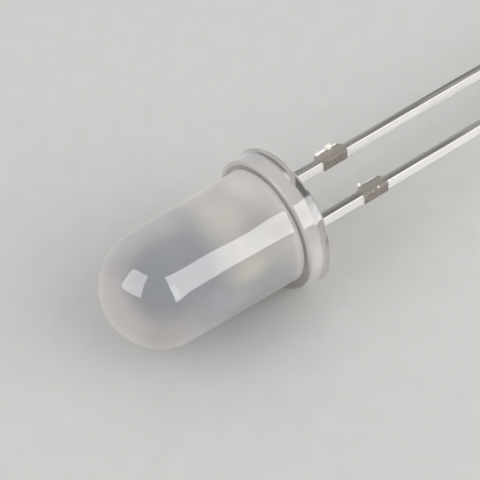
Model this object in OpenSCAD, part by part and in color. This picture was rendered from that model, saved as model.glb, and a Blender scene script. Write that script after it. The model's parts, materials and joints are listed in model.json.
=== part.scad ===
// Through hole LED with a milky diffused body, lying at rest on its rim and its two lead tips.
// Millimetres. Each module draws its piece along X, the dome towards +X and the body's rear
// face at x = 0, and at_rest() then lays it on the ground.

/* [Body] */
// Diameter of the barrel
barrel_d = 5.0; // [4.8:0.05:5.2]
// Height of the whole body, from rear face to dome tip
body_h = 8.7; // [8.2:0.1:9.4]
// Diameter of the flange's smooth front band
flange_d = 5.8; // [5.6:0.05:6.0]
// Thickness of the flange, rear lip included
flange_t = 1.0; // [0.9:0.05:1.2]
// Height of the rear lip, where the epoxy met the open end of the mould
lip_t = 0.32; // [0.25:0.01:0.4]
// How far the rear lip stands out past the front band
lip_out = 0.08; // [0.03:0.01:0.1]
// Bevel round the lip's rear edge
lip_bevel = 0.1; // [0.05:0.01:0.15]
// Distance from the axis to the flat that marks the cathode side
flat_reach = 2.72; // [2.62:0.01:2.78]
// Radius in the corner between barrel and flange
root_r = 0.07; // [0.04:0.01:0.1]
// Radius on the flange's front edge
rim_r = 0.06; // [0.03:0.01:0.1]

/* [Leads] */
// Distance between the two lead centres
lead_pitch = 2.54; // [2.4:0.02:2.6]
// Width of a lead, across the pair
lead_w = 0.44; // [0.4:0.01:0.5]
// Thickness of the sheet that the leads are stamped from
lead_t = 0.48; // [0.4:0.01:0.5]
// Length of the anode lead outside the body
anode_l = 26.9; // [24:0.1:30]
// How much shorter the cathode lead is cut
cathode_cut = 1.5; // [1:0.1:2]

/* [Tie bar stubs] */
// Distance from the rear face to the stubs left where the tie bar was cut away
stub_at = 3.08; // [2.6:0.02:4]
// Length of a stub's cut face
stub_l = 1.25; // [0.9:0.05:1.6]
// How far a stub stands out on the side that the punch cut less
stub_out = 0.14; // [0.08:0.01:0.2]
// How far a stub stands out on the side that the punch cut more
stub_in = 0.03; // [0.02:0.01:0.06]
// Length of the slope at each end of a stub
stub_ramp = 0.22; // [0.15:0.01:0.3]

/* [Cup and post] */
// Height of the cup's rim above the rear face
cup_rim_x = 3.9; // [3.7:0.05:4.2]
// Depth of the cup
cup_deep = 0.35; // [0.3:0.01:0.4]
// Diameter of the cup's opening
cup_open_d = 1.0; // [0.9:0.02:1.05]
// Diameter of the cup's floor
cup_floor_d = 0.56; // [0.5:0.01:0.6]
// Diameter of the cup's head
cup_head_d = 1.24; // [1.2:0.01:1.3]
// Height of the cup's head, its tapered underside included
cup_head_h = 1.0; // [0.8:0.02:1.1]
// Clear gap between the cup's head and the post
post_gap = 0.36; // [0.3:0.01:0.4]
// How far the post's top stays below the cup's rim
post_drop = 0.12; // [0.1:0.01:0.14]
// How far the post's top reaches past the outside of its lead
post_over = 0.08; // [0.02:0.01:0.15]

/* [Chip and wire] */
// Side of the square chip
die_side = 0.3; // [0.25:0.01:0.32]
// Height of the chip
die_h = 0.12; // [0.1:0.01:0.14]
// Diameter of the bond wire
wire_d = 0.03; // [0.025:0.001:0.04]
// Diameter of the flattened ball where the wire meets the chip
ball_d = 0.08; // [0.07:0.01:0.1]
// Height of that ball
ball_h = 0.03; // [0.02:0.01:0.04]

/* [Hidden] */
$fn = 96;

barrel_r = barrel_d / 2;
flange_r = flange_d / 2;
lip_r = flange_r + lip_out;
dome_x = body_h - barrel_r;
lead_y = lead_pitch / 2;
cathode_l = anode_l - cathode_cut;

cup_floor_x = cup_rim_x - cup_deep;
cup_head_x = cup_rim_x - cup_head_h;
cup_waist = 0.72;
cup_taper = 0.4;
post_top_x = cup_rim_x - post_drop;
post_inner_y = cup_head_d / 2 + post_gap;
post_outer_y = lead_y + lead_w / 2 + post_over;
die_top_x = cup_floor_x + die_h;
stitch_y = (post_inner_y + post_outer_y) / 2;

// How far a cutting block runs past what it cuts
cut_past = 1;

// Where the stamped outlines widen inside the body, above the rear face
neck_x = 1.1;
wing_x = 1.9;
anvil_reach = 0.3;
anvil_back = 0.95;
post_foot_x = 2.3;

// Slopes of the ground under the part, found from the rim and the lead tips that touch it.
// The ground is z = down + dip * x + lean * y in the part's own frame.
mean_l = (anode_l + cathode_l) / 2;
lean_share = cathode_cut / lead_pitch;
function dip_for(lean) = (lead_t / 2 - lean * lead_w / 2 - lip_r * sqrt(1 + lean * lean))
    / (mean_l + lip_bevel);
function settle(dip, rounds) = rounds == 0 ? dip : settle(dip_for(dip * lean_share), rounds - 1);
dip = settle(0, 4);
lean = dip * lean_share;
down = -lip_r * sqrt(1 + lean * lean) - dip * lip_bevel;
steep = sqrt(1 + dip * dip + lean * lean);
pitch_deg = asin(dip / steep);
roll_deg = atan(-lean);

// The middle of the part along X and Y once it lies down
mid_x = (dome_x * cos(pitch_deg) + barrel_r - anode_l * cos(pitch_deg)) / 2;
mid_y = (lip_r - flat_reach) / 2;

module at_rest() {
    translate([-mid_x, -mid_y, -down / steep])
        rotate([roll_deg, pitch_deg, 0])
            children();
}

// Turns a piece drawn along Z so that it runs along X
module along_x() {
    rotate([0, 90, 0])
        children();
}

// A quarter disc in the first quadrant
module quarter_disc(radius) {
    intersection() {
        circle(r = radius);
        square(radius);
    }
}

// The barrel and dome in half section, radius along X and height along Y
module barrel_section() {
    square([barrel_r, dome_x]);
    translate([0, dome_x])
        quarter_disc(barrel_r);
}

// The flange's front band, with its rounded front edge
module band_section() {
    square([flange_r, flange_t - rim_r]);
    square([flange_r - rim_r, flange_t]);
    translate([flange_r - rim_r, flange_t - rim_r])
        quarter_disc(rim_r);
}

// The lip at the mould's open end, bevelled behind and sloped into the band in front
module lip_section() {
    polygon([
        [0, 0],
        [lip_r - lip_bevel, 0],
        [lip_r, lip_bevel],
        [lip_r, lip_t - lip_out],
        [flange_r, lip_t],
        [0, lip_t]
    ]);
}

// The hollow radius that joins the barrel to the flange
module root_section() {
    difference() {
        square([barrel_r + root_r, flange_t + root_r]);
        translate([barrel_r + root_r, flange_t + root_r])
            circle(r = root_r);
    }
}

module cast_body() {
    difference() {
        along_x()
            rotate_extrude()
                union() {
                    barrel_section();
                    band_section();
                    lip_section();
                    root_section();
                }
        translate([-cut_past, -lip_r - cut_past, -lip_r])
            cube([flange_t + root_r + cut_past, lip_r + cut_past - flat_reach, 2 * lip_r]);
    }
}

// Outline of one lead in plan, from its tip at -length to a point inside the body.
// The stub's high side faces -Y on both leads, because one punch cut them both.
module lead_outline(length, inner_x) {
    half = lead_w / 2;
    near = -stub_at;
    far = -stub_at - stub_l;
    polygon([
        [-length, -half],
        [far - stub_ramp, -half],
        [far, -half - stub_out],
        [near, -half - stub_out],
        [near + stub_ramp, -half],
        [inner_x, -half],
        [inner_x, half],
        [near + stub_in, half],
        [near, half + stub_in],
        [far, half + stub_in],
        [far - stub_in, half],
        [-length, half]
    ]);
}

// A flat plan drawn in X and Y, given the thickness of the sheet
module stamped() {
    linear_extrude(height = lead_t, center = true)
        children();
}

// The anvil that carries the cup, spreading from the cathode lead to the axis
module anvil_outline() {
    outer_y = -lead_y - lead_w / 2;
    inner_y = -lead_y + lead_w / 2;
    polygon([
        [neck_x, outer_y],
        [neck_x, inner_y],
        [wing_x, anvil_reach],
        [cup_head_x + cup_taper / 2, anvil_reach],
        [cup_head_x + cup_taper / 2, -anvil_back],
        [wing_x, outer_y]
    ]);
}

// The post that takes the wire, spreading inwards from the anode lead
module post_outline() {
    polygon([
        [post_foot_x, lead_y - lead_w / 2],
        [post_foot_x, lead_y + lead_w / 2],
        [post_top_x - post_over, post_outer_y],
        [post_top_x, post_outer_y],
        [post_top_x, post_inner_y],
        [post_top_x - post_over, post_inner_y]
    ]);
}

// The reflector cup, upset from the anvil's end and coned inside
module cup() {
    difference() {
        union() {
            translate([cup_head_x, 0, 0])
                along_x()
                    cylinder(h = cup_taper, d1 = cup_head_d * cup_waist, d2 = cup_head_d);
            translate([cup_head_x + cup_taper, 0, 0])
                along_x()
                    cylinder(h = cup_head_h - cup_taper, d = cup_head_d);
        }
        translate([cup_floor_x, 0, 0])
            along_x()
                cylinder(h = cup_deep, d1 = cup_floor_d, d2 = cup_open_d);
    }
}

module cathode_frame() {
    stamped()
        translate([0, -lead_y])
            lead_outline(cathode_l, wing_x);
    stamped()
        anvil_outline();
    cup();
}

module anode_frame() {
    stamped()
        translate([0, lead_y])
            lead_outline(anode_l, post_top_x - post_over);
    stamped()
        post_outline();
}

module chip() {
    translate([cup_floor_x, -die_side / 2, -die_side / 2])
        cube([die_h, die_side, die_side]);
}

// Ball on the chip, a short riser and a half loop over the cup's rim down to the post
module wire() {
    loop_r = stitch_y / 2;
    translate([die_top_x, 0, 0])
        along_x()
            cylinder(h = ball_h, d = ball_d);
    translate([die_top_x + ball_h, 0, 0])
        along_x()
            cylinder(h = post_top_x - die_top_x - ball_h, d = wire_d);
    translate([post_top_x, loop_r, 0])
        rotate([0, 0, -90])
            rotate_extrude(angle = 180)
                translate([loop_r, 0])
                    circle(d = wire_d);
}

module lens() {
    color([0.86, 0.86, 0.87, 0.7])
        at_rest()
            difference() {
                cast_body();
                cathode_frame();
                anode_frame();
                chip();
                wire();
            }
}

module cathode_lead() {
    color([0.78, 0.78, 0.77])
        at_rest()
            cathode_frame();
}

module anode_lead() {
    color([0.78, 0.78, 0.77])
        at_rest()
            anode_frame();
}

module die() {
    color([0.62, 0.6, 0.45])
        at_rest()
            chip();
}

module bond_wire() {
    color([0.9, 0.72, 0.32])
        at_rest()
            wire();
}

lens();
cathode_lead();
anode_lead();
die();
bond_wire();
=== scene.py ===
"""Looks of a through hole LED: a milky epoxy body with a clear rear lip on two tinned leads.

Shapes are worked out in the part's own millimetres: x along the axis from the rear face to the
dome's tip, y across the leads with the anode at +y, z through the thickness of the sheet.
"""
import json
import math

import bpy
import numpy as np
from mathutils import Matrix, Vector


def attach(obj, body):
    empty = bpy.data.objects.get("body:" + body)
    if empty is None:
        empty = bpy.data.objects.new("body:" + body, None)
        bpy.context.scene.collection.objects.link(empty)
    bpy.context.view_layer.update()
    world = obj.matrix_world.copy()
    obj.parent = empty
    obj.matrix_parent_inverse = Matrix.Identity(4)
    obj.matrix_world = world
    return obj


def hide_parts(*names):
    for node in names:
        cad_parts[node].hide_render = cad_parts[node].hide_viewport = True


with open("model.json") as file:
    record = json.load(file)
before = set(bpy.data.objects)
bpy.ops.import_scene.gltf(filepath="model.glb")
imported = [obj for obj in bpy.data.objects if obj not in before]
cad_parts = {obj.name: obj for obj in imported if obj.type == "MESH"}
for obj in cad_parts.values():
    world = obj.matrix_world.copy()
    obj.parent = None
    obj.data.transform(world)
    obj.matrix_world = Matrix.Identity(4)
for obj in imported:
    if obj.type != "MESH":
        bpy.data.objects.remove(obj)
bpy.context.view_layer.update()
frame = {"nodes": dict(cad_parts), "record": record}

MM = 0.001
SEED = 7

# The part's own axes, its rear centre and half the leads' pitch, read from the mounts in the frame
mounts = {mount["name"]: mount for mount in frame["record"]["mounts"]}
ALONG = np.array(mounts["barrel"]["axis"])
REAR = np.array(mounts["rear_face"]["pos_m"])
ACROSS = np.array(mounts["anode_pin"]["pos_m"]) - np.array(mounts["cathode_pin"]["pos_m"])
LEAD_Y = np.linalg.norm(ACROSS) / MM / 2
ACROSS = ACROSS / np.linalg.norm(ACROSS)
THROUGH = np.cross(ALONG, ACROSS)
AXES = np.column_stack([ALONG, ACROSS, THROUGH])

# Body: barrel and dome, and the flange with its flat. The power says how sharply the flat meets the round.
BARREL_R = mounts["barrel"]["dims"]["r_mm"]
DRAFT = 0.06
BODY_H = 8.7
FLANGE_R = 2.9
FLANGE_T = 1.0
FLAT_REACH = 2.72
FLAT_POWER = 90.0
ROOT_R = 0.07
RIM_R = 0.06
RING_POINTS = 320

# Rear lip: its end, the bevel behind it, the step in front, and how far its edge and its end wander
LIP_R = 2.98
LIP_END = 0.4
LIP_BEVEL = 0.1
LIP_STEP = 0.006
LIP_STEP_L = 0.05
EDGE_WANDER = 0.05
END_WANDER = 0.03

# Rear face: how deep it is dished, and how high the epoxy creeps up a lead and how fast that fades
REAR_ROWS = 64
DISH = 0.05
CREEP_H = 0.2
CREEP_FADE = 0.11

# Shallow sinks where the epoxy drew in as it cured:
# x, degrees round from +y, half widths of both, and depth
SINKS = (
    (5.4, 28.0, 2.0, 12.0, 0.017),
    (2.9, 28.0, 1.8, 12.0, 0.010),
    (3.1, 68.0, 1.0, 15.0, 0.028),
    (0.5, 66.0, 0.9, 13.0, 0.026),
)

# Leads
LEAD_W = 0.44
LEAD_T = 0.48
ANODE_L = mounts["anode_pin"]["dims"]["length_mm"]
CATHODE_L = mounts["cathode_pin"]["dims"]["length_mm"]

# Stub of the tie bar that was punched away: its ends along x, how far it stands out on either side, the
# power of its ramps' hollow curve, and the length of the step on the inner side
STUB_NEAR = -2.97
STUB_FAR = -4.26
STUB_OUT = 0.14
STUB_IN = 0.03
STUB_HOLLOW = 1.8
STUB_STEP = 0.012

# Radius of the leads' corners, and what the punch leaves of it along the stub over a short blend
CORNER = 0.125
PUNCHED_CORNER = 0.025
CORNER_BLEND = 0.02
CORNER_STEPS = 6

# Rounding at the leads' tips, and the swell of the tin on their faces
TIP_ROUND = 0.02
TIP_ROUND_L = 0.05
SWELL = 0.004

# Anvil: where its sides start to spread and stop, and how far it reaches from the axis on the anode's side
# and on its own
NECK_X = 1.1
WING_X = 1.9
ANVIL_REACH = 0.3
ANVIL_BACK = 0.95

# Cup and post
CUP_RIM_X = 3.9
CUP_FLOOR_X = 3.55
CUP_HEAD_X = 2.9
CUP_TAPER = 0.4
CUP_R = 0.62
CUP_WAIST_R = 0.446
CUP_OPEN_R = 0.5
CUP_FLOOR_R = 0.28
CUP_RIM_ROUND = 0.03
CUP_LIP_ROUND = 0.02
POST_ROOT_X = 2.3
POST_TOP_X = 3.78
POST_SHOULDER = 0.08
POST_INNER_Y = 0.98
POST_OUTER_Y = 1.57

# Tones in the body: centre, half sizes and screen colour. The first is painted shade over the barrel's lower
# side, the second a warm tone deep in the body
SHADE_AND_DEEP_TONES = (
    # Painted shade over the barrel's lower side
    ((2.9, 2.4, -1.0), (3.2, 1.7, 2.8), (141, 143, 148)),
    ((3.4, 2.3, 1.0), (1.2, 1.0, 0.7), (190, 186, 177)),
)

# Middle of the painted shade in the dome's upper side, which makes it darker and cooler there, its radius
# and its tone
DOME_SHADE_MIDDLE = (6.85, 1.4, 1.95)
DOME_SHADE_R = 2.15
DOME_SHADE_TONE = (145, 148, 152)

# Tones near the body's skin, in the same form, laid over the deep ones in this order. The last two are
# painted shade where the highlights fall near the barrel's root and on the flange
SKIN_TONES = (
    ((0.6, -1.3, 2.7), (0.7, 1.6, 0.9), (174, 173, 176)),
    ((6.9, -1.3, 1.9), (1.9, 1.6, 1.6), (172, 171, 171)),
    ((0.6, 2.2, -2.1), (0.8, 1.1, 1.2), (178, 176, 175)),
    ((0.6, 2.9, 0.2), (0.6, 0.8, 1.5), (208, 204, 199)),
    ((3.4, 0.3, 2.4), (1.4, 1.5, 1.0), (193, 189, 183)),
    ((2.5, 1.4, 2.05), (1.0, 0.55, 0.6), (172, 169, 166)),
    ((1.8, -0.4, 2.5), (1.0, 1.5, 0.8), (202, 197, 192)),
    ((5.6, -1.5, 1.9), (2.2, 1.0, 1.0), (163, 160, 159)),
    ((5.4, -0.6, 2.4), (1.2, 1.1, 0.9), (167, 166, 166)),
    ((5.2, 2.4, 0.4), (1.0, 0.8, 1.0), (155, 157, 162)),
    # Painted shade under the barrel's highlight strip, near the root
    ((1.75, 1.83, 1.68), (1.15, 0.7, 0.7), (171, 167, 164)),
    # Painted shade under the flange's highlight
    ((0.7, 2.05, 2.05), (0.5, 0.65, 0.65), (182, 179, 176)),
)

# Tones in the clear lip: first and last degree round it, low and high x, soft margin in x, screen colour.
# They lean with x, by this many radians a millimetre. Some are painted shade and one a painted glint, as
# marked.
LIP_LEAN = 0.5
LIP_TONES = (
    # Painted shade: a thin dark streak near the rim
    (88, 123, 0.26, 0.31, 0.04, (132, 130, 128)),
    (83, 120, 0.14, 0.18, 0.03, (198, 195, 192)),
    (75, 84, 0.25, 0.36, 0.06, (194, 190, 185)),
    # Painted shade: a dark patch across the lip
    (57, 75, 0.14, 0.33, 0.03, (110, 108, 107)),
    # Painted highlight: a small glint by the lead's root
    (84, 90, 0.36, 0.46, 0.07, (236, 232, 226)),
    # Painted shade: the dark patch carried on under the highlight
    (50, 60, 0.1, 0.34, 0.1, (136, 134, 133)),
    # Painted shade: dimmer where the highlight crosses the lip
    (43, 50, 0.1, 0.34, 0.1, (160, 158, 157)),
    (17, 22, 0.1, 0.22, 0.03, (166, 163, 161)),
)

# Lighter and darker streaks along the anode's top face: middle and reach along x, distance across from the
# lead's middle, half width and screen colour
ANODE_STREAKS = (
    (-12, 14, -0.13, 0.14, (184, 182, 178)),
    (-3, 6, 0.05, 0.09, (132, 130, 127)),
)

# Soft boxes in millimetres of the shared frame: middle, then direction and half size of each side
LEFT_BOX = ((223.9, -67.7, 211.4), (0.1933, -0.9724, -0.1303), 108.2, (-0.3137, -0.1871, 0.9309), 118.6)
RIGHT_BOX = ((-122.2, 210.0, 174.0), (-0.9929, 0.119, 0.0087), 162.9, (-0.0582, -0.547, 0.8351), 118.4)

# Radiance of the lamps: the two keys, and those that only gloss sees
KEY_RADIANCE = 1.5
LEFT_GLOSS, RIGHT_GLOSS, RIM_GLOSS = 3.0, 3.8, 1.8

# Middle of the body in the shared frame, and how near to it the gloss lamps stand beside their keys
BODY_MIDDLE = (REAR + ALONG * BODY_H / 2 * MM) / MM
TWIN_SHARE = 0.97

# Where the right box's bright rim starts, as a share of the box's half sizes
RIM_U, RIM_V = 0.85, 0.4

# Camera: place in metres, its right and up directions, focal length on a 36 mm wide sensor
CAMERA_PLACE = (0.046695, 0.051225, 0.080598)
CAMERA_RIGHT = (-0.7739926, 0.6299555, -0.0639654)
CAMERA_UP = (-0.5235952, -0.5799414, 0.6241122)
FOCAL_MM = 187.5
SENSOR_MM = 36.0


def to_row(points):
    """Own millimetres to metres in the shared frame: rear centre plus each coordinate along its axis."""
    return REAR + (np.asarray(points, float) @ AXES.T) * MM


def skin(rings, start, end):
    """Closed surface through rings of points, wrapped round each ring, with a fan to a pole at each end.

    The faces are turned outwards if the volume that they enclose comes out negative.
    """
    rows, cols = rings.shape[:2]
    verts = np.concatenate([rings.reshape(-1, 3), [start], [end]])
    near = np.arange(cols)
    far = (near + 1) % cols
    base = np.arange(rows - 1)[:, None] * cols
    quads = np.stack([base + near, base + far, base + cols + far, base + cols + near], -1).reshape(-1, 4)
    last = (rows - 1) * cols
    first_fan = np.stack([far, near, np.full(cols, rows * cols)], -1)
    last_fan = np.stack([last + near, last + far, np.full(cols, rows * cols + 1)], -1)
    a, b, c, d = (verts[quads[:, k]] for k in range(4))
    volume = np.einsum("ij,ij->", a, np.cross(b, c)) + np.einsum("ij,ij->", a, np.cross(c, d))
    for fan in (first_fan, last_fan):
        p, q, r = (verts[fan[:, k]] for k in range(3))
        volume += np.einsum("ij,ij->", p, np.cross(q, r))
    if volume < 0:
        quads, first_fan, last_fan = quads[:, ::-1], first_fan[:, ::-1], last_fan[:, ::-1]
    return verts, quads, np.concatenate([first_fan, last_fan])


def make_piece(name, skins, materials, sharp_deg):
    """One mesh object from several closed skins, each with the material number of each of its faces."""
    verts, faces, numbers, offset = [], [], [], 0
    for (points, quads, fans), quad_numbers, fan_numbers in skins:
        verts.append(points)
        faces += (quads + offset).tolist() + (fans + offset).tolist()
        numbers.append(np.broadcast_to(quad_numbers, len(quads)))
        numbers.append(np.broadcast_to(fan_numbers, len(fans)))
        offset += len(points)
    mesh = bpy.data.meshes.new(name)
    mesh.from_pydata(to_row(np.concatenate(verts)).tolist(), [], faces)
    mesh.polygons.foreach_set("material_index", np.concatenate(numbers).astype(np.int32))
    mesh.polygons.foreach_set("use_smooth", np.ones(len(mesh.polygons), bool))
    mesh.set_sharp_from_angle(angle=math.radians(sharp_deg))
    for material in materials:
        mesh.materials.append(material)
    mesh.update()
    piece = bpy.data.objects.new(name, mesh)
    bpy.context.scene.collection.objects.link(piece)
    return piece


def waves(angle, counts, seed):
    """Sum of sines round the body, one for each count: seeded phases, sizes of one over its root."""
    rng = np.random.default_rng(seed)
    phases = rng.uniform(0, 2 * math.pi, len(counts))
    sizes = 1 / np.sqrt(np.array(counts))
    total = sum(size * np.sin(count * angle + phase) for count, size, phase in zip(counts, sizes, phases))
    return total / sizes.sum()


def arc(x0, r0, radius, start_deg, end_deg, steps):
    """Points of a circular arc in half section: centre plus radius times cosine in x and sine in r."""
    turn = np.radians(np.linspace(start_deg, end_deg, steps))
    return np.stack([x0 + radius * np.cos(turn), r0 + radius * np.sin(turn)], -1)


def drawn_in(x, angle):
    """Depth of the sinks at each point: for each one a bell curve in x and in the angle, exp(-u^2 - v^2)."""
    turn = np.degrees(angle)
    return sum(depth * np.exp(-((x - at_x) / half_x) ** 2 - ((turn - at_deg) / half_deg) ** 2)
               for at_x, at_deg, half_x, half_deg, depth in SINKS)


def flange_outline(radius, cos_y):
    """Soft minimum of a circle and the flat: (circle^-p + flat^-p)^(-1/p), with a high power p."""
    flat_at = FLAT_REACH / np.maximum(-cos_y, 1e-3)
    return (radius ** -FLAT_POWER + flat_at ** -FLAT_POWER) ** (-1 / FLAT_POWER)


def rear_height(share, y, z):
    """Height of the rear face at each point of a ring at this share of the radius.

    The face is dished by the depth times 1 - share^2. It climbs each lead by a height that falls by the
    exponential of the distance from the lead's section.
    """
    height = DISH * (1 - share ** 2)
    for lead_y in (-LEAD_Y, LEAD_Y):
        dy = np.maximum(np.abs(y - lead_y) - LEAD_W / 2, 0)
        dz = np.maximum(np.abs(z) - LEAD_T / 2, 0)
        height = height - CREEP_H * np.exp(-np.hypot(dy, dz) / CREEP_FADE)
    return height


def milky_body_skin():
    """The casting as rings about the axis, from the rear face to the dome's tip.

    Each ring has a height x and a radius, both free to change round it. Up to the shoulder the radius
    follows the flange's outline, and past it a circle. The lip tapers in a straight line to a small step,
    and sums of sines make its edge and its end wander. Last, the sinks are taken off every radius.
    """
    angle = np.arange(RING_POINTS) * 2 * math.pi / RING_POINTS
    cos_y, sin_z = np.cos(angle), np.sin(angle)
    ragged = EDGE_WANDER * waves(angle, (5, 9, 14, 21, 33, 47), SEED)
    meet = LIP_END + END_WANDER * waves(angle, (2, 5, 9, 16, 29), SEED + 1)
    lip = flange_outline(LIP_R, cos_y)
    band = flange_outline(FLANGE_R, cos_y)
    rings = []

    def ring(x, radius):
        rings.append((x + 0 * angle, radius + 0 * angle))

    # Rear face, from the centre to the bevel
    edge = lip - LIP_BEVEL + ragged
    for share in np.linspace(0.02, 1, REAR_ROWS):
        radius = edge * share
        ring(rear_height(share, radius * cos_y, radius * sin_z), radius)
    # Lip, rounded behind and sloped into the band in front
    for turn in np.radians(np.linspace(12, 90, 7)):
        ring(LIP_BEVEL * (1 - math.cos(turn)), edge + LIP_BEVEL * math.sin(turn))
    for share in np.linspace(0.12, 1, 9):
        ring(LIP_BEVEL + share * (meet - LIP_BEVEL),
             lip + ragged * (1 - share) - share * (LIP_R - FLANGE_R - LIP_STEP))
    for share in (0.3, 0.7, 1.0):
        ring(meet + share * LIP_STEP_L, band + LIP_STEP * (1 - share))
    # Front band with its rounded edge
    for x in np.linspace(LIP_END + 0.12, FLANGE_T - RIM_R, 10):
        ring(x, band)
    for x, r in arc(FLANGE_T - RIM_R, -RIM_R, RIM_R, 80, 0, 6):
        ring(x, band + r)
    # Shoulder and the hollow radius at the barrel's root
    foot = BARREL_R + ROOT_R
    for share in (0.85, 0.6, 0.35, 0.15):
        ring(FLANGE_T, share * (band - RIM_R) + (1 - share) * foot)
    for x, r in arc(FLANGE_T + ROOT_R, foot, ROOT_R, 180, 270, 7):
        ring(x, r)
    # Barrel with the mould's draft, then the dome
    dome_r = BARREL_R - DRAFT
    dome_x = BODY_H - dome_r
    for share in np.linspace(0, 1, 44)[1:]:
        ring(FLANGE_T + ROOT_R + share * (dome_x - FLANGE_T - ROOT_R), BARREL_R - DRAFT * share)
    for x, r in arc(dome_x, 0, dome_r, 90, 1, 50)[1:]:
        ring(x, r)

    x, r = np.moveaxis(np.array(rings), 1, 0)
    r = r * (1 - drawn_in(x, angle) / BARREL_R)
    points = np.stack([x, r * cos_y, r * sin_z], -1)
    return skin(points, [DISH, 0, 0], [BODY_H, 0, 0]), x[:-1, :]


def lead_skin(centre_y, tip_x, stations, low_y, high_y, corner):
    """A rounded rectangle carried along x, whose low and high sides follow their own curves.

    Round each corner the section is a quarter circle of the corner radius at that station. The two faces
    swell and sink along x by sin(1.7 x + a) + 0.6 sin(4.1 x + b), with seeded phases a and b.
    """
    steps = np.radians(np.linspace(0, 90, CORNER_STEPS))
    phase = np.random.default_rng(SEED + 2).uniform(0, 6, 2)
    swell = SWELL * (np.sin(stations * 1.7 + phase[0]) + 0.6 * np.sin(stations * 4.1 + phase[1]))
    top = LEAD_T / 2 + swell * 0.5
    columns = []
    back = steps[::-1]
    for side_y, side_z, turns in ((1, 1, steps), (-1, 1, back), (-1, -1, steps), (1, -1, back)):
        side = (high_y - corner) if side_y > 0 else (low_y + corner)
        for turn in turns:
            y = side + side_y * corner * math.cos(turn)
            z = side_z * (top - corner + corner * math.sin(turn))
            columns.append(np.stack([stations, centre_y + y, z], -1))
    rings = np.stack(columns, 1)
    inner_x = stations[-1]
    middle = centre_y + (low_y[-1] + high_y[-1]) / 2
    return skin(rings, [tip_x, centre_y, 0], [inner_x, middle, 0])


def stub_outline(stations, near, near_ramp, far, far_ramp):
    """How far the stub stands out: full between its ends, and a hollow curve (1 - u)^1.8 along each ramp."""
    beyond = np.maximum((stations - near) / near_ramp, (far - stations) / far_ramp)
    return np.clip(1 - beyond, 0, 1) ** STUB_HOLLOW


def inside_stub(stations, soft):
    """1 between the stub's ends and 0 outside, with a short straight step at each end."""
    beyond = np.maximum(stations - STUB_NEAR, STUB_FAR - stations)
    return np.clip(1 - beyond / soft, 0, 1)


def lead_stations(tip_x, inner_x):
    """Stations along a lead: close round the stub, the tip and the roots, wide apart between."""
    parts = [
        tip_x + np.array([0, 0.015, 0.04, 0.08]),
        np.linspace(tip_x + 0.2, STUB_FAR - 0.6, 60),
        np.linspace(STUB_FAR - 0.5, STUB_NEAR + 0.5, 110),
        STUB_FAR - np.array([0.03, 0.02, 0.01, 0.0]),
        STUB_NEAR + np.array([0.0, 0.01, 0.02, 0.03]),
        np.linspace(STUB_NEAR + 0.6, 0.4, 20),
        np.linspace(0.5, inner_x, 40),
    ]
    return np.unique(np.concatenate(parts))


def lead_faces(stations, rolled, cut, sheared):
    """Material number of each quad of a lead.

    The two faces are rolled and the two sides are cut. Of the turned edges, most of the upper one on the
    high side is cut, about half of each lower one, and nearly all of the upper one on the low side is
    rolled. Between the stub's ends all that is cut is sheared instead.
    """
    middle = (stations[:-1] + stations[1:]) / 2
    stub = (middle > STUB_FAR) & (middle < STUB_NEAR)
    numbers = np.full((len(middle), 4 * CORNER_STEPS), rolled, np.int32)
    # The quads run from the high side over the top to the low side, and back underneath
    sides = np.r_[0:4, 10:15, 21:24]
    numbers[:, sides] = cut
    numbers[np.ix_(stub, sides)] = sheared
    return numbers.ravel()


def blob_skin(centre, sizes, seed):
    """A small lump of tin: an ellipsoid whose radius is swollen by sines round it and up it.

    The swell is 1 + 0.12 sin(3 turn + a) cos(up) + 0.1 sin(2 up + b), with seeded phases a and b.
    """
    phase = np.random.default_rng(seed).uniform(0, 6, 2)
    up = np.radians(np.linspace(-80, 80, 13))[:, None]
    turn = np.linspace(0, 2 * math.pi, 24, endpoint=False)[None, :]
    swell = 1 + 0.12 * np.sin(3 * turn + phase[0]) * np.cos(up) + 0.1 * np.sin(2 * up + phase[1])
    x = swell * np.cos(up) * np.cos(turn)
    y = swell * np.cos(up) * np.sin(turn)
    z = swell * np.sin(up)
    rings = np.array(centre) + np.stack([x, y, z], -1) * np.array(sizes)
    pole = np.array([0, 0, sizes[2]])
    return skin(rings, np.array(centre) - pole, np.array(centre) + pole)


def cup_skin():
    """The reflector cup as a closed revolve: up the outside, over the rim and down the cone to the floor."""
    profile = np.array([
        [CUP_HEAD_X, CUP_WAIST_R * 0.5],
        [CUP_HEAD_X, CUP_WAIST_R],
        [CUP_HEAD_X + CUP_TAPER, CUP_R],
        [CUP_RIM_X - CUP_RIM_ROUND, CUP_R],
        [CUP_RIM_X, CUP_R - CUP_RIM_ROUND],
        [CUP_RIM_X, CUP_OPEN_R + CUP_LIP_ROUND],
        [CUP_RIM_X - CUP_LIP_ROUND, CUP_OPEN_R],
        [CUP_FLOOR_X, CUP_FLOOR_R],
        [CUP_FLOOR_X, CUP_FLOOR_R * 0.5],
    ])
    turn = np.linspace(0, 2 * math.pi, 64, endpoint=False)
    x = profile[:, :1] + 0 * turn
    rings = np.stack([x, profile[:, 1:] * np.cos(turn), profile[:, 1:] * np.sin(turn)], -1)
    return skin(rings, [CUP_HEAD_X, 0, 0], [CUP_FLOOR_X, 0, 0])


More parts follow.
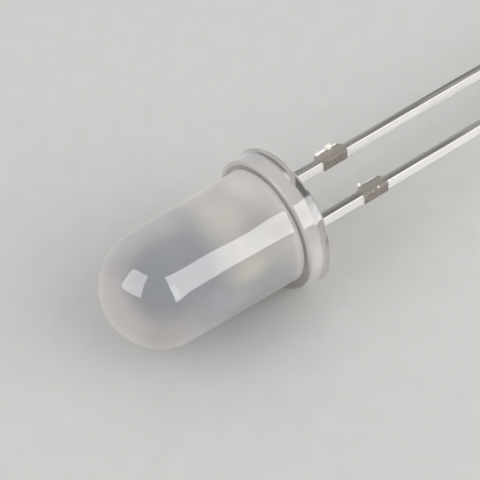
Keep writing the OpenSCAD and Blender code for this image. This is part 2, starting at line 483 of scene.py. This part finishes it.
class Paint:
    """A node material with short calls for the nodes that the finishes here use."""

    def __init__(self, name):
        self.material = bpy.data.materials.new(name)
        self.material.use_nodes = True
        self.nodes = self.material.node_tree.nodes
        self.links = self.material.node_tree.links
        self.shader = self.nodes["Principled BSDF"]

    def feed(self, socket, value):
        """Links another node's output to the socket, or sets the socket to a constant."""
        if isinstance(value, bpy.types.NodeSocket):
            self.links.new(value, socket)
        else:
            socket.default_value = value

    def node(self, kind, inputs=(), **settings):
        """A new node with these settings, whose inputs are fed by name or by number."""
        made = self.nodes.new(kind)
        for key, value in settings.items():
            setattr(made, key, value)
        for socket, value in dict(inputs).items():
            self.feed(made.inputs[socket], value)
        return made

    def own_place(self, stretch=(1, 1, 1)):
        """The part's own millimetres at the shaded point, from Object coordinates, stretched if asked."""
        turn = Matrix(AXES.T.tolist())
        move = -(AXES.T @ REAR) / MM
        place = self.node("ShaderNodeMapping", {
            "Vector": self.node("ShaderNodeTexCoord").outputs["Object"],
            "Location": move.tolist(),
            "Rotation": turn.to_euler(),
            "Scale": (1 / MM, 1 / MM, 1 / MM),
        }).outputs["Vector"]
        if stretch == (1, 1, 1):
            return place
        return self.node("ShaderNodeMapping", {"Vector": place, "Scale": stretch}).outputs["Vector"]

    def parts(self, place):
        """The X, Y and Z of a place, by name."""
        return self.node("ShaderNodeSeparateXYZ", {"Vector": place}).outputs

    def length(self, vector):
        """Length of a vector."""
        return self.node("ShaderNodeVectorMath", {0: vector}, operation="LENGTH").outputs["Value"]

    def from_axis(self, place):
        """Distance of a place from the x axis: the length of its Y and Z."""
        out = self.node("ShaderNodeVectorMath", {0: place, 1: (0, 1, 1)}, operation="MULTIPLY").outputs[0]
        return self.length(out)

    def noise(self, place, scale, detail=3.0, roughness=0.5):
        """Soft noise from 0 to 1."""
        return self.node("ShaderNodeTexNoise", {
            "Vector": place, "Scale": scale, "Detail": detail, "Roughness": roughness,
        }).outputs["Fac"]

    def ramp(self, value, low, high, to_low=0.0, to_high=1.0):
        """A smooth step from one result to another as the value goes from low to high."""
        return self.node("ShaderNodeMapRange", {
            "Value": value, "From Min": low, "From Max": high, "To Min": to_low, "To Max": to_high,
        }, interpolation_type="SMOOTHSTEP").outputs["Result"]

    def mix(self, share, first, second):
        """The share of the way from the first colour to the second."""
        made = self.node("ShaderNodeMix", data_type="RGBA")
        for index, value in ((0, share), (6, first), (7, second)):
            self.feed(made.inputs[index], value)
        return made.outputs[2]

    def mix_value(self, share, first, second):
        """The share of the way from the first number to the second."""
        return self.node("ShaderNodeMix", {0: share, 2: first, 3: second}).outputs[0]

    def maths(self, operation, first, second):
        """One operation on two numbers."""
        return self.node("ShaderNodeMath", {0: first, 1: second}, operation=operation).outputs[0]

    def near(self, place, centre, sizes, core=0.15):
        """1 at a point of the part, out to a core, and falling to 0 at an ellipsoid of these half sizes."""
        shifted = self.node("ShaderNodeMapping", {
            "Vector": place,
            "Location": [-c / s for c, s in zip(centre, sizes)],
            "Scale": [1 / s for s in sizes],
        }).outputs["Vector"]
        return self.ramp(self.length(shifted), core, 1.0, 1.0, 0.0)

    def window(self, value, low, high, soft):
        """1 between two values, falling to 0 over a soft margin outside each."""
        return self.maths("MULTIPLY", self.ramp(value, low - soft, low), self.ramp(value, high + soft, high))

    def patches(self, place, colour, tones):
        """The colour with the tone of each zone laid over it in turn."""
        for centre, sizes, tone in tones:
            colour = self.mix(self.near(place, centre, sizes), colour, srgb(*tone))
        return colour

    def bump(self, height, strength, distance_mm):
        """Bends the shader's normal by a height."""
        self.links.new(self.node("ShaderNodeBump", {
            "Height": height, "Strength": strength, "Distance": distance_mm * MM,
        }).outputs["Normal"], self.shader.inputs["Normal"])

    def set(self, **values):
        """Feeds the shader's inputs, each by its name with underscores for spaces."""
        for key, value in values.items():
            self.feed(self.shader.inputs[key.replace("_", " ")], value)


def srgb(red, green, blue):
    """Linear colour of an 8-bit screen colour, with full alpha."""
    def line(value):
        share = value / 255
        return share / 12.92 if share <= 0.04045 else ((share + 0.055) / 1.055) ** 2.4
    return (line(red), line(green), line(blue), 1.0)


def barrel_tone(paint, place, own, radius, clouds):
    """Warm by the lead frame and cooler in the dome, pale at the root, with painted light round the dome and
    at its tip, painted shade in the dome's upper side and low on the sides, and a painted highlight along
    the barrel's root.
    """
    along, height = own["X"], own["Z"]
    warm = paint.maths("MULTIPLY", paint.ramp(along, 5.6, 3.4), paint.ramp(clouds, 0.25, 0.75, 0.7, 1.0))
    colour = paint.mix(warm, srgb(144, 147, 151), srgb(189, 185, 179))
    # Painted shade over the barrel's lower side, then a warm tone deep in the body
    colour = paint.patches(place, colour, SHADE_AND_DEEP_TONES)
    # Painted light: paler round the dome, and paler still at its tip, standing for its bright rim
    colour = paint.mix(paint.ramp(along, 5.4, 7.2, 0.0, 0.9), colour, srgb(172, 168, 167))
    colour = paint.mix(paint.ramp(along, 7.8, 8.5), colour, srgb(185, 181, 180))
    # Painted shade: darker and cooler in the dome's upper side
    core = paint.near(place, DOME_SHADE_MIDDLE, (DOME_SHADE_R, DOME_SHADE_R, DOME_SHADE_R), 0.5)
    colour = paint.mix(core, colour, srgb(*DOME_SHADE_TONE))
    root = paint.near(place, (FLANGE_T, 0.0, 1.6), (1.6, 4.2, 4.2))
    colour = paint.mix(root, colour, srgb(195, 190, 185))
    # Painted highlight: a pale line along the fillet at the barrel's root
    foot = paint.maths("MULTIPLY", paint.ramp(along, 1.5, 1.1), paint.ramp(radius, 2.6, 2.54))
    colour = paint.mix(foot, colour, srgb(214, 209, 204))
    # Painted shade: darker low on the barrel's sides
    painted_low_shade = paint.maths("MULTIPLY", paint.ramp(height, -0.1, -1.1), paint.ramp(along, 5.8, 4.4))
    painted_low_shade = paint.maths("MULTIPLY", painted_low_shade, paint.ramp(along, 1.2, 1.7))
    colour = paint.mix(painted_low_shade, colour, srgb(118, 118, 120))
    return paint.patches(place, colour, SKIN_TONES)


def rear_tone(paint, place, radius):
    """Pale swirls on the rear face, greyer towards its edge."""
    swirl = paint.ramp(paint.noise(place, 0.9, 3.0), 0.35, 0.65)
    swirls = paint.mix(swirl, srgb(206, 203, 199), srgb(222, 219, 216))
    return paint.mix(paint.ramp(radius, 2.45, 2.9), swirls, srgb(190, 188, 185))


def add_painted_shoulder_shade(paint, own, radius, colour):
    """Painted shade on the flat shoulder: dark grey, paler low down and by the cathode, and a little wider
    low down.
    """
    along, across, height = own["X"], own["Y"], own["Z"]
    # Painted shade: a dark grey ring on the shoulder
    shoulder = paint.maths("MULTIPLY", paint.ramp(along, 1.05, 1.025), paint.ramp(along, 0.965, 0.985))
    within = paint.maths("SUBTRACT", radius, paint.ramp(height, 0.2, -1.4, 0.0, 0.16))
    ring = paint.maths("MULTIPLY", shoulder, paint.ramp(within, 2.72, 2.69))
    pale = paint.maths("MAXIMUM", paint.ramp(height, 0.3, -0.9), paint.ramp(across, -0.9, -2.0))
    return paint.mix(ring, colour, paint.mix(pale, srgb(124, 122, 119), srgb(150, 147, 144)))


def milky_epoxy():
    """Milky cast epoxy: light scatters under a glossy skin, with soft tones where the inside shows, and
    painted light and shade laid over them.
    """
    paint = Paint("milky_epoxy")
    place = paint.own_place()
    own = paint.parts(place)
    radius = paint.from_axis(place)
    clouds = paint.noise(place, 0.5, 2.0)
    colour = barrel_tone(paint, place, own, radius, clouds)
    colour = paint.mix(paint.ramp(own["X"], 0.3, 0.1), colour, rear_tone(paint, place, radius))
    paint.set(
        Base_Color=add_painted_shoulder_shade(paint, own, radius, colour),
        Roughness=paint.ramp(clouds, 0.3, 0.7, 0.42, 0.56), IOR=1.54, Specular_IOR_Level=0.0,
        Subsurface_Weight=1.0, Subsurface_Radius=(1.0, 1.0, 1.0), Subsurface_Scale=0.06 * MM,
        Sheen_Weight=0.29, Sheen_Roughness=0.7, Sheen_Tint=(1.0, 0.95, 0.94, 1.0),
        Coat_Weight=1.0, Coat_Roughness=0.01, Coat_IOR=1.6,
    )
    paint.bump(paint.noise(place, 1.3, 1.0), 0.03, 0.01)
    return paint.material


def clear_lip():
    """The rear lip, clearer than the rest because the epoxy is thin there and free of the mould. Painted
    shade lies on it in streaks and patches, with a painted glint by the lead's root.
    """
    paint = Paint("clear_lip")
    own = paint.parts(paint.own_place())
    along = own["X"]
    wisps = paint.noise(paint.own_place((1.6, 0.8, 0.8)), 1.0, 2.0)
    edge = paint.mix(paint.ramp(along, 0.02, 0.12), srgb(214, 211, 208), srgb(188, 184, 181))
    colour = paint.mix(paint.ramp(along, 0.1, 0.42), edge, srgb(204, 199, 194))
    colour = paint.mix(paint.ramp(along, 0.3, 0.43), colour, srgb(216, 212, 207))
    colour = paint.mix(paint.ramp(wisps, 0.45, 0.65, 0.0, 0.6), colour, srgb(158, 156, 154))
    turn = paint.maths("ARCTAN2", own["Z"], own["Y"])
    slant = paint.maths("ADD", turn, paint.maths("MULTIPLY", along, LIP_LEAN))
    # Tones, painted shade and a painted glint laid over the lip
    for first, last, low, high, soft, tone in LIP_TONES:
        around = paint.window(slant, math.radians(first), math.radians(last), 0.03)
        patch = paint.maths("MULTIPLY", around, paint.window(along, low, high, soft))
        colour = paint.mix(patch, colour, srgb(*tone))
    paint.set(
        Base_Color=colour, Roughness=0.2, IOR=1.54, Transmission_Weight=0.2, Specular_IOR_Level=0.0,
        Subsurface_Weight=1.0, Subsurface_Radius=(1.0, 1.0, 1.0), Subsurface_Scale=0.05 * MM,
        Coat_Weight=1.0, Coat_Roughness=0.02, Coat_IOR=1.6,
    )
    paint.bump(paint.noise(paint.own_place((2, 2, 2)), 1.4, 1.0), 0.2, 0.012)
    return paint.material


def tin(name, tones, roughness, metal, worn, streaks, edge_shade_share):
    """Hot dipped tin: drawn lines along the lead in tone, roughness and height, with fine grain over them.

    Tones and roughness each go from a low value to a high one. Beside the stub the tin is wiped thin and the
    brownish strip shows, as far as the worn share says. The streaks are laid along the anode. Where the
    upper edge turns over, painted shade makes the tone darker by the edge shade share.
    """
    paint = Paint(name)
    own = paint.parts(paint.own_place())
    along = own["X"]
    lines = paint.noise(paint.own_place((0.3, 6, 6)), 1.0, 4.0, 0.6)
    grain = paint.noise(paint.own_place((6, 9, 9)), 3.0, 4.0, 0.6)
    wiped = paint.maths("MULTIPLY", paint.ramp(along, STUB_FAR - 0.25, STUB_FAR + 0.25, 0.0, worn),
                        paint.ramp(along, STUB_NEAR + 0.3, STUB_NEAR - 0.25))
    drawn = paint.mix(paint.ramp(lines, 0.35, 0.68), *(srgb(*tone) for tone in tones))
    for middle, reach, beside, half, tone in streaks:
        centre = (middle, LEAD_Y + beside, LEAD_T / 2)
        streak = paint.near(paint.own_place(), centre, (reach, half, 0.2), 0.4)
        drawn = paint.mix(streak, drawn, srgb(*tone))
    # Painted shade along the upper turned edge
    turned = paint.maths("MULTIPLY", paint.window(own["Z"], 0.15, 0.212, 0.015), edge_shade_share)
    drawn = paint.mix(turned, drawn, srgb(200, 198, 194))
    paint.set(
        Base_Color=paint.mix(wiped, drawn, srgb(168, 160, 153)), Metallic=metal,
        Roughness=paint.mix_value(wiped, paint.ramp(grain, 0.3, 0.7, *roughness), 0.5),
    )
    height = paint.maths("ADD", lines, paint.maths("MULTIPLY", grain, 0.4))
    paint.bump(paint.maths("MULTIPLY", height, paint.maths("SUBTRACT", 1.0, wiped)), 0.5, 0.012)
    return paint.material


def sheared_steel():
    """The punched faces: dull brownish grey, scored through the sheet by the punch, with flecks of tin."""
    paint = Paint("sheared_steel")
    scores = paint.noise(paint.own_place((22, 2, 1.2)), 1.0, 3.0, 0.65)
    clouds = paint.noise(paint.own_place((3, 3, 3)), 1.0, 3.0)
    flecks = paint.ramp(paint.noise(paint.own_place((11, 11, 11)), 1.0, 2.0), 0.72, 0.76)
    worn = paint.mix(paint.ramp(scores, 0.35, 0.65), srgb(110, 102, 96), srgb(164, 156, 149))
    toned = paint.mix(paint.ramp(clouds, 0.35, 0.7, 0.0, 0.6), worn, srgb(136, 128, 122))
    paint.set(
        Base_Color=paint.mix(flecks, toned, srgb(240, 236, 228)), Metallic=0.35,
        Roughness=paint.ramp(scores, 0.3, 0.7, 0.5, 0.68),
    )
    paint.bump(scores, 0.45, 0.012)
    return paint.material


def chip_ceramic():
    """The chip: smooth top and sawn sides, pale grey green with a faint grain."""
    paint = Paint("chip_face")
    grain = paint.noise(paint.own_place((30, 30, 30)), 1.0, 3.0)
    paint.set(
        Base_Color=paint.mix(paint.ramp(grain, 0.35, 0.65), srgb(150, 148, 120), srgb(178, 172, 140)),
        Roughness=paint.ramp(grain, 0.3, 0.7, 0.3, 0.45),
    )
    return paint.material


def drawn_gold():
    """Bond wire: bright drawn gold with fine die lines."""
    paint = Paint("drawn_gold")
    lines = paint.noise(paint.own_place((4, 60, 60)), 1.0, 3.0)
    paint.set(
        Base_Color=paint.mix(paint.ramp(lines, 0.35, 0.65), srgb(214, 168, 84), srgb(242, 204, 122)),
        Metallic=1.0, Roughness=paint.ramp(lines, 0.3, 0.7, 0.2, 0.32),
    )
    return paint.material


def build_body(milky, clear):
    """The casting, milky all over except for its clear lip."""
    body_skin, ring_x = milky_body_skin()
    quads = len(body_skin[1])
    in_lip = ring_x.mean(1) < LIP_END + 0.01
    in_lip[:REAR_ROWS] = False
    numbers = np.where(in_lip.repeat(RING_POINTS)[:quads], 1, 0)
    piece = make_piece("milky_body", [(body_skin, numbers, 0)], [milky, clear], 50)
    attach(piece, "root")
    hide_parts("lens")
    return piece


def build_lead(name, node, side, length, stub, inner, lumps, metals):
    """One lead: the strip with its stub, what it widens into inside the body, and its lumps of tin."""
    tip_x = -length
    inner_x, low_inner, high_inner, extra = inner
    stations = lead_stations(tip_x, inner_x)
    half = LEAD_W / 2
    tip_round = TIP_ROUND * np.clip(1 - (stations - tip_x) / TIP_ROUND_L, 0, 1)
    low = -half - STUB_OUT * stub_outline(stations, *stub) + low_inner(stations) + tip_round
    high = half + STUB_IN * inside_stub(stations, STUB_STEP) + high_inner(stations) - tip_round
    corner = CORNER - (CORNER - PUNCHED_CORNER) * inside_stub(stations, CORNER_BLEND)
    body = lead_skin(side * LEAD_Y, tip_x, stations, low, high, corner)
    rolled, cut, sheared = range(3)
    skins = [(body, lead_faces(stations, rolled, cut, sheared), sheared)]
    for index, (centre, sizes) in enumerate(lumps):
        skins.append((blob_skin(centre, sizes, SEED + 10 + index), cut, cut))
    skins += extra
    piece = make_piece(name, skins, metals, 40)
    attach(piece, "root")
    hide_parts(node)
    return piece


def lead_metals():
    """The three surfaces of a lead: the sheet's rolled faces, its tinned cut sides and the punched stub. The
    rolled faces' tone, darker than the cut sides', is painted shade.
    """
    return [
        # Painted shade: the rolled faces' tin is toned darker than the cut sides'
        tin("tin_rolled", ((134, 132, 129), (186, 184, 180)), (0.26, 0.42), metal=1.0, worn=0.85,
            streaks=ANODE_STREAKS, edge_shade_share=0.0),
        tin("tin_cut", ((227, 225, 221), (243, 241, 237)), (0.56, 0.7), metal=0.3, worn=0.0,
            streaks=(), edge_shade_share=1.0),
        sheared_steel(),
    ]


def build_cathode(metals):
    """The lead beside the flat. Its sides spread in straight lines into the anvil, which carries the cup."""
    half = LEAD_W / 2
    top = LEAD_T / 2
    head_x = CUP_HEAD_X + CUP_TAPER / 2

    def anvil_low(x):
        return np.interp(x, [WING_X, head_x], [0, LEAD_Y - ANVIL_BACK + half])

    def anvil_high(x):
        return np.interp(x, [NECK_X, WING_X], [0, LEAD_Y + ANVIL_REACH - half])

    # Near and far end of the stub's outer side, each with the length of its ramp
    stub = (-2.99, 0.22, -4.17, 0.22)
    # Centre and half sizes of each lump of tin
    lumps = [
        ((-3.16, -LEAD_Y - half - 0.13, top + 0.01), (0.16, 0.08, 0.09)),
        ((-3.42, -LEAD_Y - half - 0.14, top), (0.2, 0.06, 0.07)),
        ((-3.73, -LEAD_Y - half - 0.14, top + 0.04), (0.2, 0.13, 0.16)),
        ((-4.0, -LEAD_Y - half - 0.13, top), (0.17, 0.03, 0.025)),
        ((STUB_NEAR + 0.03, half - LEAD_Y, 0.03 - top), (0.05, 0.03, 0.03)),
    ]
    inner = (head_x, anvil_low, anvil_high, [(cup_skin(), 0, 0)])
    return build_lead("tinned_cathode", "cathode_lead", -1, CATHODE_L, stub, inner, lumps, metals)


def build_anode(metals):
    """The longer lead. Its sides spread in straight lines into the post that the bond wire lands on."""
    half = LEAD_W / 2
    top = LEAD_T / 2
    post_ends = [POST_ROOT_X, POST_TOP_X - POST_SHOULDER]

    def post_low(x):
        return np.interp(x, post_ends, [0, POST_INNER_Y - LEAD_Y + half])

    def post_high(x):
        return np.interp(x, post_ends, [0, POST_OUTER_Y - LEAD_Y - half])

    # Near and far end of the stub's outer side, each with the length of its ramp
    stub = (-3.27, 0.3, -4.22, 0.09)
    # Centre and half sizes of each lump of tin
    lumps = [
        ((-3.17, LEAD_Y - half - 0.14, top + 0.07), (0.08, 0.07, 0.1)),
        ((-3.22, LEAD_Y - half - 0.12, top - 0.06), (0.06, 0.06, 0.1)),
        ((-3.74, LEAD_Y - half - 0.14, top), (0.44, 0.014, 0.012)),
        ((-3.4, LEAD_Y + half, top - 0.03), (0.16, 0.03, 0.02)),
        ((STUB_NEAR + 0.03, LEAD_Y + half, 0.03 - top), (0.05, 0.03, 0.03)),
        ((-3.75, LEAD_Y + half - 0.02, top + 0.03), (0.045, 0.045, 0.045)),
    ]
    inner = (POST_TOP_X, post_low, post_high, [])
    return build_lead("tinned_anode", "anode_lead", 1, ANODE_L, stub, inner, lumps, metals)


def dress_node(node, material):
    """Gives a CAD node that keeps its own shape a finish of its own."""
    mesh = frame["nodes"][node].data
    mesh.materials.clear()
    mesh.materials.append(material)


def build_floor():
    """Plain pale floor, level with the lowest point of the part."""
    reach = 0.6
    mesh = bpy.data.meshes.new("floor")
    corners = [(-reach, -reach, 0), (reach, -reach, 0), (reach, reach, 0), (-reach, reach, 0)]
    mesh.from_pydata(corners, [], [(0, 1, 2, 3)])
    floor = bpy.data.objects.new("floor", mesh)
    bpy.context.scene.collection.objects.link(floor)
    paint = Paint("floor_paper")
    fine = paint.node("ShaderNodeTexCoord").outputs["Object"]
    grain = paint.noise(fine, 900.0, 3.0)
    paint.set(
        Base_Color=paint.mix(grain, srgb(205, 204, 202), srgb(213, 212, 210)), Roughness=0.8,
        Specular_IOR_Level=0.2,
    )
    mesh.materials.append(paint.material)
    return floor


def placed_by(right, up, back, place):
    """Matrix that puts an object's own x, y and z along these directions and its origin at this place."""
    return Matrix((
        (right[0], up[0], back[0], place[0]),
        (right[1], up[1], back[1], place[1]),
        (right[2], up[2], back[2], place[2]),
        (0, 0, 0, 1),
    ))


def softbox(name, centre, side_u, half_u, side_v, half_v, radiance, glossy_only):
    """A rectangular lamp that faces the part: its power is the radiance times pi times its area."""
    lamp = bpy.data.lights.new(name, "AREA")
    lamp.shape = "RECTANGLE"
    lamp.size, lamp.size_y = 2 * half_u * MM, 2 * half_v * MM
    lamp.energy = radiance * math.pi * lamp.size * lamp.size_y
    u, v = Vector(side_u).normalized(), Vector(side_v).normalized()
    back = u.cross(v)
    if back.dot(Vector(centre)) < 0:
        v, back = -v, -back
    placed = bpy.data.objects.new(name, lamp)
    placed.matrix_world = placed_by(u, v, back, [c * MM for c in centre])
    placed.visible_camera = False
    if glossy_only:
        placed.visible_diffuse = False
        placed.visible_transmission = False
    bpy.context.scene.collection.objects.link(placed)
    return placed


def build_lights():
    """Two soft boxes, each with a brighter twin just before it that only gloss sees, in a pale even room.

    A twin stands at a share of its key's distance from the body and has that share of its size, so that both
    cover the same field. The right one also has a brighter rim at one end, as a soft box shows where its
    cloth folds over the frame.
    """
    for name, box, gloss in (("left", LEFT_BOX, LEFT_GLOSS), ("right", RIGHT_BOX, RIGHT_GLOSS)):
        centre, side_u, half_u, side_v, half_v = box
        softbox(name + "_key", centre, side_u, half_u, side_v, half_v, KEY_RADIANCE, False)
        nearer = [c + TWIN_SHARE * (p - c) for c, p in zip(BODY_MIDDLE, centre)]
        twin_u, twin_v = TWIN_SHARE * half_u, TWIN_SHARE * half_v
        softbox(name + "_sheen", nearer, side_u, twin_u, side_v, twin_v, gloss, True)
    centre, side_u, half_u, side_v, half_v = RIGHT_BOX
    rim = [TWIN_SHARE ** 2 * (p - RIM_U * half_u * u - RIM_V * half_v * v - c) + c
           for c, p, u, v in zip(BODY_MIDDLE, centre, side_u, side_v)]
    softbox("right_rim", rim, side_u, (1 - RIM_U) * half_u, side_v, (1 - RIM_V) * half_v, RIM_GLOSS, True)
    world = bpy.data.worlds.new("room")
    world.use_nodes = True
    world.node_tree.nodes["Background"].inputs["Color"].default_value = (0.66, 0.66, 0.66, 1)
    bpy.context.scene.world = world


def build_camera():
    """The photograph's view, in the shared frame."""
    right, up = Vector(CAMERA_RIGHT), Vector(CAMERA_UP)
    camera = bpy.data.cameras.new("camera")
    camera.sensor_width = SENSOR_MM
    camera.lens = FOCAL_MM
    camera.clip_start = 0.005
    placed = bpy.data.objects.new("camera", camera)
    placed.matrix_world = placed_by(right, up, right.cross(up), CAMERA_PLACE)
    bpy.context.scene.collection.objects.link(placed)
    bpy.context.scene.camera = placed


build_camera()
build_lights()
build_floor()
build_body(milky_epoxy(), clear_lip())
metals = lead_metals()
build_cathode(metals)
build_anode(metals)
dress_node("die", chip_ceramic())
dress_node("bond_wire", drawn_gold())

bpy.context.scene.view_settings.view_transform = "Standard"

bpy.context.view_layer.update()
